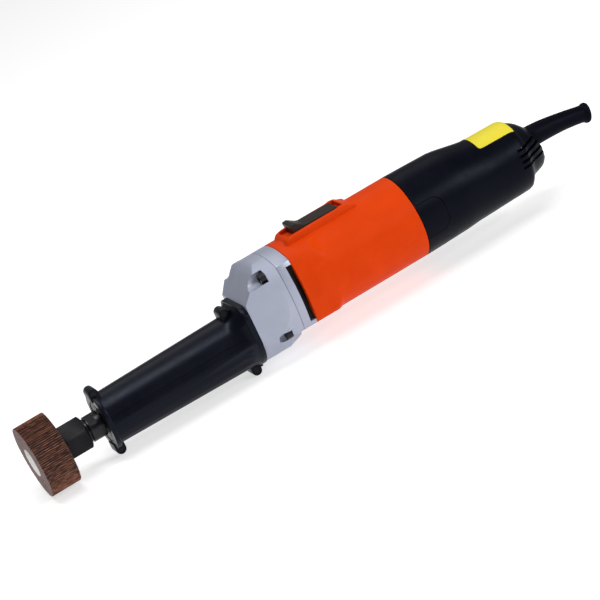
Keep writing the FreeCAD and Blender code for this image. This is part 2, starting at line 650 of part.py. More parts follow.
def bearing_bracket():
    """Disc that carries the rear bearing and the brush holders."""
    disc = turned([("comm_back + 5", "8"), ("comm_back + 5", "31.4"), ("comm_back + 9", "31.4"),
                   ("comm_back + 9", "14.5"), ("comm_back + 15", "14.5"), ("comm_back + 15", "11"),
                   ("comm_back + 7", "11"), ("comm_back + 7", "8")])
    notch = block("comm_back", 20, "-rod_half - 0.8", "2 * rod_half + 1.6", "rod_low - 1", 8)
    air = [rod("comm_back", 20, 4.5, 22 * math.cos(math.radians(a)), 22 * math.sin(math.radians(a)))
           for a in (25, 155, 205, 335, 60, 120)]
    rails = [block("brush_x + 6.5", "comm_back + 5 - brush_x - 6.5", y, 12, -5.5, 11) for y in (15, -27)]
    sockets = [rod("comm_back + 9", 16, 4, y, REAR_SCREW[1]) for y in (-REAR_SCREW[0], REAR_SCREW[0])]
    bores = [rod("comm_back + 12", 15, 1.7, y, REAR_SCREW[1]) for y in (-REAR_SCREW[0], REAR_SCREW[0])]
    return cut(fuse(disc, *rails, *sockets), notch, rod("comm_back + 7", 10, 11), *air, *bores)


node("bearing_bracket", bearing_bracket())
node("rear_housing_screws", group([fuse(rod("rear_end - 3", 2.4, 3.6, y, REAR_SCREW[1]),
                                        rod("comm_back + 15", "rear_end - comm_back - 18", 1.7,
                                            y, REAR_SCREW[1]))
                                   for y in (-REAR_SCREW[0], REAR_SCREW[0])]))
for side, sign in (("right", -1), ("left", 1)):
    plate = cut(rear_skin("0"), rear_skin("rear_wall", stop=1))
    node(f"brush_cover_{side}", common(plate, tab_prism(sign, 0)))

raised = cut(rear_skin("-0.3"), rear_skin("0"))
node("rating_plate", common(raised, block("ramp_back + 0.5", 31.5, -17.6, 35.2, 10, 30)))

# Cord entry ---------------------------------------------------------------------------------------------

BEND = "sleeve_long * 180 / (pi * sleeve_turn)"


def sleeve_spot(part):
    """Place on the sleeve's bent middle line at the given part of its length."""
    return (f"sleeve_x + {BEND} * sin(sleeve_turn * {part})",
            f"cord_z - {BEND} * (1 - cos(sleeve_turn * {part}))")


def sleeve_ring(part, rad):
    x, z = sleeve_spot(part)
    return circle(x, rad, z, value("sleeve_turn") * part)


def cord_hole(start, end):
    """The cord's straight hole, leaning as the sleeve does on average."""
    x, z = sleeve_spot(start)
    lean = value("sleeve_turn") * (start + end) / 2
    hole = solid("Part::Cylinder", Radius="cord_bore", Height=f"sleeve_long * {end - start:.3f}")
    return place(hole, x, 0, z, App.Rotation(V(0, 1, 0), 90 + lean))


def cord_sleeve():
    """Tapered rubber sleeve with a thick rim at its tip and a collar held inside the housing's end wall."""
    collar = rod("sleeve_x", "rear_end - 5.2 - sleeve_x", "sleeve_rad + 0.5", 0, "cord_z")
    neck = rod("sleeve_x", "sleeve_long * 0.12", "sleeve_rad - 1.8", 0, "cord_z")
    body = loft([sleeve_ring(0.09, "sleeve_rad"), sleeve_ring(0.3, "sleeve_rad - 0.3"),
                 sleeve_ring(0.6, "sleeve_tip_rad + 0.6"), sleeve_ring(0.88, "sleeve_tip_rad"),
                 sleeve_ring(0.93, "rim_rad"), sleeve_ring(1, "rim_rad")])
    return cut(fuse(collar, neck, body), cord_hole(-0.05, 1.1))


node("cord_sleeve", cord_sleeve())
node("cord_clamp", cut(block("waist_back - 12", 9, -17, 34, -0.3, 3),
                       rod("waist_back - 14", 12, "cord_bore + 0.1", 0, "cord_z + 1"),
                       *[post("waist_back - 7.5", y, -5, 12, 1.7) for y in (-14, 14)]))
node("cord_clamp_screws", group([fuse(post("waist_back - 7.5", y, 2.7, 2, 2.8),
                                      post("waist_back - 7.5", y, -14, 16.7, 1.5)) for y in (-14, 14)]))
node("terminal_block", block("waist_back - 32", 14, -8, 16, -24, 9))

# Check every piece, then write one file for each --------------------------------------------------------

doc.recompute()
faults = [item.Label for item in doc.Objects if {"Invalid", "Error"} & set(item.State)]
faults += [piece.Label for piece in nodes if piece.Shape.isNull() or not piece.Shape.isValid()]
if faults:
    raise SystemExit(f"not built: {sorted(set(faults))}")
os.makedirs("parts", exist_ok=True)
for piece in nodes:
    piece.Shape.exportStep(f"parts/{piece.Label}.step")
    box = piece.Shape.optimalBoundingBox(False)
    print(f"{piece.Label:32s} {len(piece.Shape.Solids)} {piece.Shape.Volume:12.1f}"
          f"  x {box.XMin:8.2f} {box.XMax:8.2f}  z {box.ZMin:7.2f} {box.ZMax:7.2f}")
print(len(nodes), "nodes")
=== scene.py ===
import bpy
import bmesh
import json
import math
import random
from mathutils import Matrix, Vector

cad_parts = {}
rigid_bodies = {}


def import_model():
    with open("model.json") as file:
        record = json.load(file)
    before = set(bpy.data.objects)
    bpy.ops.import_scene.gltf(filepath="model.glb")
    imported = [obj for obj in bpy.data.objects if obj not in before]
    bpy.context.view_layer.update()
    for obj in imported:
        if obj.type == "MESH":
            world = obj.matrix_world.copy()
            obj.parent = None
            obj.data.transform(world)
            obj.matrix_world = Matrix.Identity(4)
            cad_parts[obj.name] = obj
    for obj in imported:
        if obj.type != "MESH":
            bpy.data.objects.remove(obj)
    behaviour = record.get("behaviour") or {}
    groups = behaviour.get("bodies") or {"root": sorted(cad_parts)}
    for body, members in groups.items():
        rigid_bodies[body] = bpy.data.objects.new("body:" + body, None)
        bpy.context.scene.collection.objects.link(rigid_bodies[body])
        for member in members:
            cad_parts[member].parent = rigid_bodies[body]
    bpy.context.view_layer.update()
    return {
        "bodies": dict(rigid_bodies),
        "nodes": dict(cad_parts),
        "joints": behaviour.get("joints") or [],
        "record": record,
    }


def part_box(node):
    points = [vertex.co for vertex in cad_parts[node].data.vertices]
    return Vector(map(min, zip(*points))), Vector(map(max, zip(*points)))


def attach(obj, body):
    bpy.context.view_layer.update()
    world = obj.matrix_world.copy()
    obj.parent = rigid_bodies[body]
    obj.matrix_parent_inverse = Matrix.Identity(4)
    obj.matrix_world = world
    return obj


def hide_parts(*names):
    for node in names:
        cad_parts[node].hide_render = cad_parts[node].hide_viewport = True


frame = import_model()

# The room and the camera ----------------------------------------------------------------------------------
# A glowing white table far larger than the tool, soft light from above and from the right, and a long lens
# that looks down on the tool's right side and is rolled, so that the tool climbs from left to right.

AXIS_Z = 0.0485                          # motor axis above the floor
DROP = 18.5                              # spindle axis below the motor axis, millimetres
MOUTH_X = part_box("motor_housing")[0][0]  # front face of the motor housing


def at(x, y=0.0, z=0.0):
    """A point given in millimetres from the motor axis, x from the motor housing's front face."""
    return Vector((MOUTH_X + x / 1000, y / 1000, AXIS_Z + z / 1000))


def add_camera():
    """Two metres away, square to the tool's length, and rolled about its own line of sight."""
    along = Vector((0.968, -0.234, 0.088)).normalized()
    across = Vector((0.0, 0.353, 0.936))
    across = (across - along * across.dot(along)).normalized()
    back = along.cross(across)
    roll = math.radians(30.7)
    right = along * math.cos(roll) - across * math.sin(roll)
    up = along * math.sin(roll) + across * math.cos(roll)
    data = bpy.data.cameras.new("camera")
    data.sensor_width = 36.0
    data.lens = 154.7
    data.clip_end = 50.0
    camera = bpy.data.objects.new("camera", data)
    spot = at(1.0) - across * 0.0147 + back * 2.014
    camera.matrix_world = Matrix.Translation(spot) @ Matrix((right, up, back)).transposed().to_4x4()
    bpy.context.collection.objects.link(camera)
    bpy.context.scene.camera = camera


def add_floor():
    """A matt white table top that glows a little, so that shadows on it stay soft and pale."""
    half, low = 6.0, -0.0013             # in metres, just below the lowest lug
    mesh = bpy.data.meshes.new("floor")
    corners = [(-half, -half, 0), (half, -half, 0), (half, half, 0), (-half, half, 0)]
    mesh.from_pydata(corners, [], [(0, 1, 2, 3)])
    floor = bpy.data.objects.new("floor", mesh)
    floor.location.z = low
    bpy.context.collection.objects.link(floor)
    paint = bpy.data.materials.new("floor_paint")
    paint.use_nodes = True
    shader = paint.node_tree.nodes["Principled BSDF"]
    for socket, value in (("Base Color", (0.6, 0.6, 0.6, 1)), ("Roughness", 0.9), ("Specular IOR Level", 0.1),
                          ("Emission Color", (1.0, 1.0, 1.0, 1)), ("Emission Strength", 0.6)):
        shader.inputs[socket].default_value = value
    mesh.materials.append(paint)


def add_light(name, spot, aim, size, stretch, power):
    """A soft rectangular lamp, pointed from its spot at an aim."""
    data = bpy.data.lights.new(name, "AREA")
    data.shape = "RECTANGLE"
    data.size = size
    data.size_y = size * stretch
    data.energy = power
    lamp = bpy.data.objects.new(name, data)
    lamp.location = spot
    lamp.rotation_euler = (Vector(aim) - Vector(spot)).to_track_quat("-Z", "Y").to_euler()
    bpy.context.collection.objects.link(lamp)


def add_room_light():
    room = bpy.data.worlds.new("room")
    room.use_nodes = True
    sky = room.node_tree.nodes["Background"]
    sky.inputs["Color"].default_value = (1.0, 1.0, 1.0, 1)
    sky.inputs["Strength"].default_value = 0.22
    bpy.context.scene.world = room
    bpy.context.scene.view_settings.view_transform = "Standard"


add_camera()
add_floor()
add_room_light()
add_light("front_light", (1.6, -1.9, 1.25), (0, 0, 0.05), 1.1, 0.7, 36)
add_light("top_light", (-0.15, -0.1, 1.5), (0, 0, 0.04), 1.5, 0.2, 15)
add_light("back_light", (0.4, 1.2, 1.7), (0, 0, 0.04), 1.5, 0.7, 6)

# Flap wheel -----------------------------------------------------------------------------------------------
# About sixty doubled leaves of brown abrasive cloth stand on edge round a resin hub on a steel shank.  The
# leaves lean, so the rim is a fine saw-tooth, and their cut sides make the grey-mauve faces of the wheel.

WHEEL_FRONT, WHEEL_BACK, WHEEL_RAD, HUB_RAD = -243.0, -218.0, 30.0, 9.0
LEAVES, LEAN = 62, 0.16                  # the number of leaves, and their lean at the rim in radians
FIRST_STEP, LAST_STEP = 0.95, 1.15       # how far each layer's rim falls behind its leading edge


def mark_sharp(mesh, limit):
    """Smooth shading, with every edge steeper than the limit kept crisp."""
    bm = bmesh.new()
    bm.from_mesh(mesh)
    bmesh.ops.recalc_face_normals(bm, faces=bm.faces)
    for face in bm.faces:
        face.smooth = True
    for edge in bm.edges:
        edge.smooth = len(edge.link_faces) == 2 and edge.calc_face_angle(0) < math.radians(limit)
    bm.to_mesh(mesh)
    bm.free()


def settle(piece):
    """Turn a piece's modifiers into plain mesh."""
    bpy.context.view_layer.update()
    shape = piece.evaluated_get(bpy.context.evaluated_depsgraph_get())
    mesh = bpy.data.meshes.new_from_object(shape)
    piece.modifiers.clear()
    piece.data = mesh


def make_piece(name, bm):
    """A new object from mesh code written in millimetres about the motor axis."""
    for vert in bm.verts:
        vert.co = at(*vert.co)
    bmesh.ops.remove_doubles(bm, verts=bm.verts, dist=1e-6)
    bmesh.ops.recalc_face_normals(bm, faces=bm.faces)
    mesh = bpy.data.meshes.new(name)
    bm.to_mesh(mesh)
    bm.free()
    piece = bpy.data.objects.new(name, mesh)
    bpy.context.collection.objects.link(piece)
    return piece


def round_edges(piece, width, steps=3, angle=32):
    """Break the sharp edges with a small radius, width in millimetres."""
    bevel = piece.modifiers.new("edges", "BEVEL")
    bevel.width = width / 1000
    bevel.segments = steps
    bevel.limit_method = "ANGLE"
    bevel.angle_limit = math.radians(angle)
    bevel.use_clamp_overlap = True
    settle(piece)


def combine(piece, others, how):
    """Join, cut or intersect a piece with others, which are used up."""
    for other in others:
        change = piece.modifiers.new(how, "BOOLEAN")
        change.operation = how
        change.solver = "EXACT"
        change.object = other
        settle(piece)
        bpy.data.objects.remove(other)
    return piece


def finish_piece(piece, finish, body, slot, *replaced, sharp=38):
    """Shade a piece, and say which body carries it, what it is made of and which design pieces it stands for."""
    mark_sharp(piece.data, sharp)
    piece.data.materials.clear()
    piece.data.materials.append(finish)
    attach(piece, body)
    if replaced:
        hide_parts(*replaced)


def bridge(bm, rings):
    """Quads between neighbouring rings of points, with flat ends unless the last ring is the first again."""
    rows = [[bm.verts.new(point) for point in ring] for ring in rings]
    count = len(rows[0])
    for low, high in zip(rows, rows[1:]):
        for i in range(count):
            j = (i + 1) % count
            bm.faces.new((low[i], low[j], high[j], high[i]))
    if rings[0] != rings[-1]:
        bm.faces.new(rows[0])
        bm.faces.new(rows[-1])
    return rows


def loft(name, rings):
    bm = bmesh.new()
    bridge(bm, rings)
    return make_piece(name, bm)


def around(x, rad, turn, z=0.0, y=0.0):
    """A point at a radius, and at an angle from the top, about a line along X."""
    return x, rad * math.sin(turn) + y, rad * math.cos(turn) + z


def circle(x, rad, z=0.0, steps=96, start=0.0, y=0.0):
    return [around(x, rad, start + 2 * math.pi * i / steps, z, y) for i in range(steps)]


def turned_piece(name, profile, z=0.0, steps=96, start=0.0):
    """Turn (x, radius) points about a line along X at height z; a radius of 0 closes the end."""
    return loft(name, [circle(x, max(rad, 1e-4), z, steps, start) for x, rad in profile])


def new_node(tree, kind, values=(), **settings):
    """A shader node, with its settings made first and then the values of its sockets."""
    node = tree.nodes.new("ShaderNode" + kind)
    for label, setting in settings.items():
        setattr(node, label, setting)
    for socket, value in dict(values).items():
        node.inputs[socket].default_value = value
    return node


def wire(tree, *links):
    """Connect nodes: each link names a node and its output, then a node and its input."""
    for source, result, target, socket in links:
        tree.links.new(source.outputs[result], target.inputs[socket])


def new_group(name, inputs, result):
    """A shader node group with named number inputs and one output."""
    group = bpy.data.node_groups.new(name, "ShaderNodeTree")
    for label, start in inputs.items():
        socket = group.interface.new_socket(label, in_out="INPUT", socket_type="NodeSocketFloat")
        socket.default_value = start
    group.interface.new_socket(result, in_out="OUTPUT", socket_type="NodeSocketFloat")
    return group, group.nodes.new("NodeGroupInput"), group.nodes.new("NodeGroupOutput")


def mottle_group():
    """Slow, soft variation over a surface: handling, dust and uneven colour."""
    group, entry, leave = new_group("mottle", {"Scale": 40.0, "Low": 0.0, "High": 1.0}, "Value")
    place = new_node(group, "TexCoord")
    noise = new_node(group, "TexNoise", {"Detail": 5.0, "Roughness": 0.6})
    spread = new_node(group, "MapRange", {"From Min": 0.3, "From Max": 0.7})
    wire(group, (place, "Object", noise, "Vector"), (entry, "Scale", noise, "Scale"),
         (noise, "Fac", spread, "Value"), (entry, "Low", spread, "To Min"), (entry, "High", spread, "To Max"),
         (spread, "Result", leave, "Value"))
    return group


def grain_group():
    """Fine spark-eroded mould texture as a height."""
    group, entry, leave = new_group("grain", {"Scale": 1800.0}, "Height")
    place = new_node(group, "TexCoord")
    fine = new_node(group, "TexNoise", {"Detail": 3.0})
    cells = new_node(group, "TexVoronoi")
    both = new_node(group, "Math", operation="ADD")
    for texture in (fine, cells):
        wire(group, (place, "Object", texture, "Vector"), (entry, "Scale", texture, "Scale"))
    wire(group, (fine, "Fac", both, 0), (cells, "Distance", both, 1), (both, "Value", leave, "Height"))
    return group


def edge_group():
    """A mask bright along outward edges: finish rubbed away on the nut, a painted highlight on the grip's ribs.
    """
    group, entry, leave = new_group("edge_wear_and_glint", {"Start": 0.52, "Full": 0.6}, "Mask")
    shape = new_node(group, "NewGeometry")
    spread = new_node(group, "MapRange")
    wire(group, (shape, "Pointiness", spread, "Value"), (entry, "Start", spread, "From Min"),
         (entry, "Full", spread, "From Max"), (spread, "Result", leave, "Mask"))
    return group


MOTTLE, GRAIN, EDGE_WEAR_AND_GLINT = mottle_group(), grain_group(), edge_group()


def new_finish(name, colour, second, rough, metallic=0.0):
    """A Principled material whose colour drifts between two shades and whose roughness drifts too."""
    finish = bpy.data.materials.new(name)
    finish.use_nodes = True
    tree = finish.node_tree
    shader = tree.nodes["Principled BSDF"]
    shader.inputs["Metallic"].default_value = metallic
    drift = new_node(tree, "Group", {"Scale": 45.0}, node_tree=MOTTLE)
    shades = new_node(tree, "Mix", {"A": (*colour, 1), "B": (*second, 1)}, data_type="RGBA")
    gloss = new_node(tree, "Group", {"Scale": 110.0, "Low": rough[0], "High": rough[1]}, node_tree=MOTTLE)
    wire(tree, (drift, "Value", shades, "Factor"), (shades, "Result", shader, "Base Color"),
         (gloss, "Value", shader, "Roughness"))
    return finish, tree, shader, shades


def add_grain(tree, shader, scale, depth):
    """Mould grain on a finish, depth in millimetres."""
    grain = new_node(tree, "Group", {"Scale": scale}, node_tree=GRAIN)
    bump = new_node(tree, "Bump", {"Distance": depth / 1000, "Strength": 1.0})
    wire(tree, (grain, "Height", bump, "Height"), (bump, "Normal", shader, "Normal"))


def add_edge_wear_and_glint(tree, shader, shades, colour):
    """Lighter edges over the base colours: rubbed wear, and on the grip a painted highlight."""
    edge_wear_glint = new_node(tree, "Group", {"Start": 0.52, "Full": 0.6}, node_tree=EDGE_WEAR_AND_GLINT)
    over = new_node(tree, "Mix", {"B": (*colour, 1)}, data_type="RGBA")
    wire(tree, (edge_wear_glint, "Mask", over, "Factor"), (shades, "Result", over, "A"),
         (over, "Result", shader, "Base Color"))


def plastic(name, colour, second, rough, depth=0.02, scale=1800.0, edge_wear_glint=None, specular=0.15,
            tint=(1.0, 1.0, 1.0)):
    """A finish with no bare metal in it: colours, a roughness range, then its grain in millimetres."""
    finish, tree, shader, shades = new_finish(name, colour, second, rough)
    shader.inputs["Specular IOR Level"].default_value = specular
    shader.inputs["Specular Tint"].default_value = (*tint, 1)
    add_grain(tree, shader, scale, depth)
    if edge_wear_glint:
        add_edge_wear_and_glint(tree, shader, shades, edge_wear_glint)
    return finish


def metal(name, colour, second, rough, depth=0.006, scale=900.0, metallic=1.0):
    finish, tree, shader, _ = new_finish(name, colour, second, rough, metallic)
    add_grain(tree, shader, scale, depth)
    return finish


def flap_finish():
    """Brown grit on the rim with a painted highlight along its crests, a paler cut face on the sides, each leaf a
    little different.
    """
    finish, tree, shader, shades = new_finish("flap_cloth", (0.014, 0.004, 0.003), (0.085, 0.023, 0.010),
                                              (0.75, 0.95))
    leaf = new_node(tree, "Attribute", attribute_name="leaf")
    wire(tree, (leaf, "Fac", shades, "Factor"))
    add_grain(tree, shader, 1500.0, 0.08)

    # A painted highlight: each layer's crest is lit in grainy streaks along the axle.
    rim = new_node(tree, "Attribute", attribute_name="rim")
    crest = new_node(tree, "Math", {1: 2.5}, operation="POWER")
    place = new_node(tree, "TexCoord")
    drawn = new_node(tree, "VectorMath", {1: (0.15, 1.0, 1.0)}, operation="MULTIPLY")
    speck = new_node(tree, "TexNoise", {"Scale": 1300.0, "Detail": 2.0})
    some = new_node(tree, "MapRange", {"From Min": 0.38, "From Max": 0.66})
    both = new_node(tree, "Math", operation="MULTIPLY")
    bright = new_node(tree, "Mix", {"B": (0.42, 0.16, 0.09, 1)}, data_type="RGBA")
    wire(tree, (rim, "Fac", crest, 0), (place, "Object", drawn, 0), (drawn, "Vector", speck, "Vector"),
         (speck, "Fac", some, "Value"), (crest, "Value", both, 0), (some, "Result", both, 1),
         (both, "Value", bright, "Factor"), (shades, "Result", bright, "A"))

    # Faces that look along the axle are the cut sides.
    shape = new_node(tree, "NewGeometry")
    split = new_node(tree, "SeparateXYZ")
    flat = new_node(tree, "Math", operation="ABSOLUTE")
    edge = new_node(tree, "MapRange", {"From Min": 0.55, "From Max": 0.9})
    side = new_node(tree, "Mix", {"B": (0.24, 0.16, 0.15, 1)}, data_type="RGBA")
    wire(tree, (shape, "True Normal", split, "Vector"), (split, "X", flat, 0), (flat, "Value", edge, "Value"),
         (edge, "Result", side, "Factor"), (bright, "Result", side, "A"), (side, "Result", shader, "Base Color"))
    return finish


def flap_leaves():
    """One closed mesh per leaf: a doubled cloth that leans, each layer's rim raised at its leading side."""
    chance = random.Random(7)
    bm = bmesh.new()
    leaf_tone = bm.verts.layers.float.new("leaf")
    # This layer marks the crests that carry the painted highlight in the cloth finish.
    crest_glint = bm.verts.layers.float.new("rim")
    pitch = 2 * math.pi / LEAVES
    edges = [pitch * (index + chance.uniform(-0.22, 0.22)) for index in range(LEAVES)]
    edges.append(edges[0] + 2 * math.pi)
    steps = (0.0, 0.35, 0.7, 0.9, 1.0)   # from the hub out to the rim
    crests = (len(steps) - 1, len(steps) + 1)
    across = 8
    for start, stop in zip(edges, edges[1:]):
        room = stop - start
        tone = chance.random() ** 1.6
        lift = chance.uniform(-0.6, 0.0)
        rows = []
        for part in steps:
            lean = LEAN * part ** 1.5
            wide = room * (0.94 - 0.07 * part)
            rows.append((HUB_RAD + (WHEEL_RAD - HUB_RAD) * part, start + lean, start + lean + wide))
        _, left, right = rows[-1]
        rings = []
        for k in range(across + 1):
            x = WHEEL_FRONT + (WHEEL_BACK - WHEEL_FRONT) * k / across
            wave = chance.uniform(-0.006, 0.006)
            ring = []
            for rad, turn, _ in rows:
                tip = rad + lift if rad == WHEEL_RAD else rad
                ring.append(around(x, tip, turn + wave * rad / WHEEL_RAD, -DROP))
            for share, drop in ((0.44, FIRST_STEP), (0.5, 0.2)):
                ring.append(around(x, WHEEL_RAD - drop + lift, left + share * (right - left), -DROP))
            for rad, _, turn in reversed(rows):
                tip = rad - LAST_STEP + lift if rad == WHEEL_RAD else rad
                ring.append(around(x, tip, turn, -DROP))
            rings.append(ring)
        for row in bridge(bm, rings):
            for i, vert in enumerate(row):
                vert[leaf_tone] = tone
                vert[crest_glint] = 1.0 if i in crests else 0.0
    return make_piece("flap_leaves", bm)


finish_piece(flap_leaves(), flap_finish(), "spindle_group", "flap_cloth", "wheel_flaps", sharp=30)
hub = turned_piece("resin_hub", [(-242.7, 3.0), (-242.7, 11.9), (-241.6, 12.6), (-240.6, 11.0), (-240.2, 9.2),
                                 (-220.4, 9.2), (-219.6, 11.0), (-218.4, 12.0), (-217.8, 11.0), (-217.6, 3.0),
                                 (-242.7, 3.0)], -DROP)
finish_piece(hub, plastic("flap_resin", (0.24, 0.19, 0.16), (0.32, 0.26, 0.22), (0.5, 0.7), 0.05, 700.0),
             "spindle_group", "flap_resin", "wheel_hub")
disc = turned_piece("label_disc", [(-243.35, 0.0), (-243.35, 11.5), (-243.25, 11.75), (-242.9, 11.75),
                                   (-242.9, 0.0)], -DROP)
finish_piece(disc, plastic("label_paper", (0.90, 0.89, 0.86), (0.78, 0.77, 0.74), (0.6, 0.8), 0.02, 500.0),
             "spindle_group", "label_paper", "wheel_label")
bright_steel = metal("bright_steel", (0.62, 0.63, 0.66), (0.50, 0.51, 0.54), (0.2, 0.35))

# Collet nut -----------------------------------------------------------------------------------------------
# A blackened steel hexagon nut, its two ends turned to a chamfer, which pulls the split collet on to the
# shank of the wheel.  The corners are rubbed to a dull grey by the spanner.

NUT_FRONT, NUT_BACK, NUT_TURN = -216.0, -196.0, 51.0
NUT_REACH = 13.5 / math.cos(math.radians(30))  # out to a corner, from half the width across flats


def collet_nut():
    """A hexagon cut back to a turned barrel, and bored out behind the hole for the shank."""
    nut = turned_piece("collet_nut_body", [(NUT_FRONT, NUT_REACH), (NUT_BACK, NUT_REACH)], -DROP, 6,
                       math.radians(NUT_TURN))
    barrel = turned_piece("barrel", [(NUT_FRONT, 0.0), (NUT_FRONT, 13.0), (NUT_FRONT + 1.5, NUT_REACH + 0.05),
                                     (NUT_BACK - 2.2, NUT_REACH + 0.05), (NUT_BACK, 12.4), (NUT_BACK, 0.0)],
                          -DROP)
    bore = turned_piece("bore", [(NUT_FRONT - 1, 4.2), (NUT_FRONT + 2, 4.2), (NUT_FRONT + 4, 7.2),
                                 (NUT_BACK + 1, 7.2)], -DROP, 48)
    combine(nut, [barrel], "INTERSECT")
    combine(nut, [bore], "DIFFERENCE")
    round_edges(nut, 0.35, 2, 25)
    return nut


# The blackening is an oxide skin, so it shines as plastic does and not as bare metal does.
black_steel = plastic("black_steel", (0.002, 0.002, 0.004), (0.004, 0.004, 0.006), (0.3, 0.42), 0.01, 1100.0,
                      edge_wear_glint=(0.010, 0.010, 0.013), specular=0.1)
finish_piece(collet_nut(), black_steel, "spindle_group", "black_steel", "collet_nut", sharp=30)

# Spindle --------------------------------------------------------------------------------------------------
# A dark turned steel shaft: a neck ring behind the nut, then a collar with two flats for the holding
# spanner, then the shaft that runs back inside the nose.

FLAT_X, FLAT_LONG, FLAT_TURN, FLAT_AT = -189.6, 6.4, 25, 8.5


def spindle_shaft():
    thread = [(-212.0, 3.1), (-212.0, 6.6), (-211.4, 7.0), (-198.5, 7.0)]
    neck = [(-196.2, 7.9), (-196.2, 9.3), (-196.0, 9.5), (-194.6, 9.5), (-194.3, 9.2), (-194.3, 8.6),
            (-194.0, 8.6)]
    collar = [(-194.0, 10.3), (-193.6, 10.7), (-182.2, 10.7), (-182.0, 6.0)]
    inside = [(-57.0, 6.0), (-57.0, 5.0), (-20.0, 5.0), (-20.0, 0.0), (-190.0, 0.0), (-190.0, 3.1)]
    shaft = turned_piece("spindle_shaft", thread + neck + collar + inside + thread[:1], -DROP)
    wide, thick = 34.0, 9.0              # the block that cuts each flat
    for side in (1, -1):
        tilt = Matrix.Translation((0, 0, -DROP)) @ Matrix.Rotation(math.radians(FLAT_TURN), 4, "X")
        place = Matrix.Translation((FLAT_X, 0, side * (FLAT_AT + thick / 2)))
        cutter = bmesh.new()
        size = Matrix.Diagonal((FLAT_LONG, wide, thick, 1))
        bmesh.ops.create_cube(cutter, size=1.0, matrix=tilt @ place @ size)
        combine(shaft, [make_piece("flat", cutter)], "DIFFERENCE")
    return shaft


spindle_steel = metal("spindle_steel", (0.02, 0.02, 0.023), (0.04, 0.04, 0.044), (0.24, 0.38), 0.004, 1500.0)
finish_piece(spindle_shaft(), spindle_steel, "spindle_group", "spindle_steel", "spindle", sharp=30)

# Nose grip ------------------------------------------------------------------------------------------------
# Two half shells of dark, finely textured plastic, screwed together through four lugs over the aluminium
# nose tube.  The upper half is smooth and the lower half has stepped ribs that deepen towards the motor.

NOSE_FRONT, NOSE_BACK, GRIP_BORE = -181.5, -46.0, 17.4
GRIP_RADS = (21.6, 24.1)                 # at the front and at the back
SEAT_RAD, SEAT_DEEP = 21.6, 10.0         # the room at the back for the tube's flange
FLARE_RAD = 22.6                         # where the flare towards the rear flange leaves the ribbed barrel
FRONT_THICK, FRONT_RISE, REAR_THICK = 4.0, 3.1, 5.0
RIB_START, RIB_PITCH, RIBS = 72.0, 15.0, 6
LUGS = ((-178.5, 25.0), (-178.5, -25.0), (-59.0, 27.0), (-55.0, -27.0))
LUG_RAD, LUG_HALF, LUG_FOOT, WEB_HALF = 4.18, 7.0, 19.0, 4.2
LUG_BORE, HEAD_BORE, NUT_BORE, HEAD_DEEP = 1.6, 2.8, 2.9, 2.6
SHELL_GAP = 0.08                         # from the joint between the shells to either of them


def arc(a, b, rad, start, stop, steps=20):
    """Points on an arc about (a, b), angles in degrees."""
    turns = [math.radians(start + (stop - start) * i / steps) for i in range(steps + 1)]
    return [(a + rad * math.cos(t), b + rad * math.sin(t)) for t in turns]


def prism_x(name, outline, front, back):
    """A solid along X from (y, z) points."""
    return loft(name, [[(x, y, z) for y, z in outline] for x in (front, back)])


def prism_y(name, outline, right, left):
    """A solid along Y from (x, z) points."""
    return loft(name, [[(x, y, z) for x, z in outline] for y in (right, left)])


def prism_z(name, outline, low, high):
    """A solid along Z from (x, y) points."""
    return loft(name, [[(x, y, z) for x, y in outline] for z in (low, high)])


def brick(front, back, right, left, low, high):
    """A block from its limits along X, Y and Z."""
    return prism_x("brick", [(right, low), (left, low), (left, high), (right, high)], front, back)


def twin(piece, name):
    copy = bpy.data.objects.new(name, piece.data.copy())
    bpy.context.collection.objects.link(copy)
    return copy


def grip_barrel():
    """The ribbed barrel: going round it, each rib steps in sharply and then grows back to the full radius."""
    half_turn = [(4.0 * i, 0.0) for i in range(18)]
    for rib in range(RIBS):
        start = RIB_START + rib * RIB_PITCH
        half_turn += [(start, 0.0), (start + 0.9, 1.0), (start + 0.5 * RIB_PITCH, 0.55)]
    half_turn += [(RIB_START + RIBS * RIB_PITCH, 0.0)]
    turn = half_turn + [(360.0 - angle, deep) for angle, deep in reversed(half_turn[1:])]
    rings = []
    for part in (0.0, 0.12, 0.35, 0.6, 0.85, 1.0):
        rad = GRIP_RADS[0] + (GRIP_RADS[1] - GRIP_RADS[0]) * part
        step = 0.4 + 0.9 * part
        x = NOSE_FRONT + (NOSE_BACK - NOSE_FRONT) * part
        rings.append([around(x, rad - step * deep, math.radians(angle), -DROP) for angle, deep in turn])
    return loft("grip", rings)


def grip_lug(x, z):
    side = 1 if z > 0 else -1
    foot = side * LUG_FOOT - DROP
    outline = [(x - LUG_RAD, foot), *arc(x, z - DROP, LUG_RAD, side * 180, 0), (x + LUG_RAD, foot)]
    lug = prism_y("lug", outline, -LUG_HALF, LUG_HALF)
    round_edges(lug, 0.6, 3)
    return lug


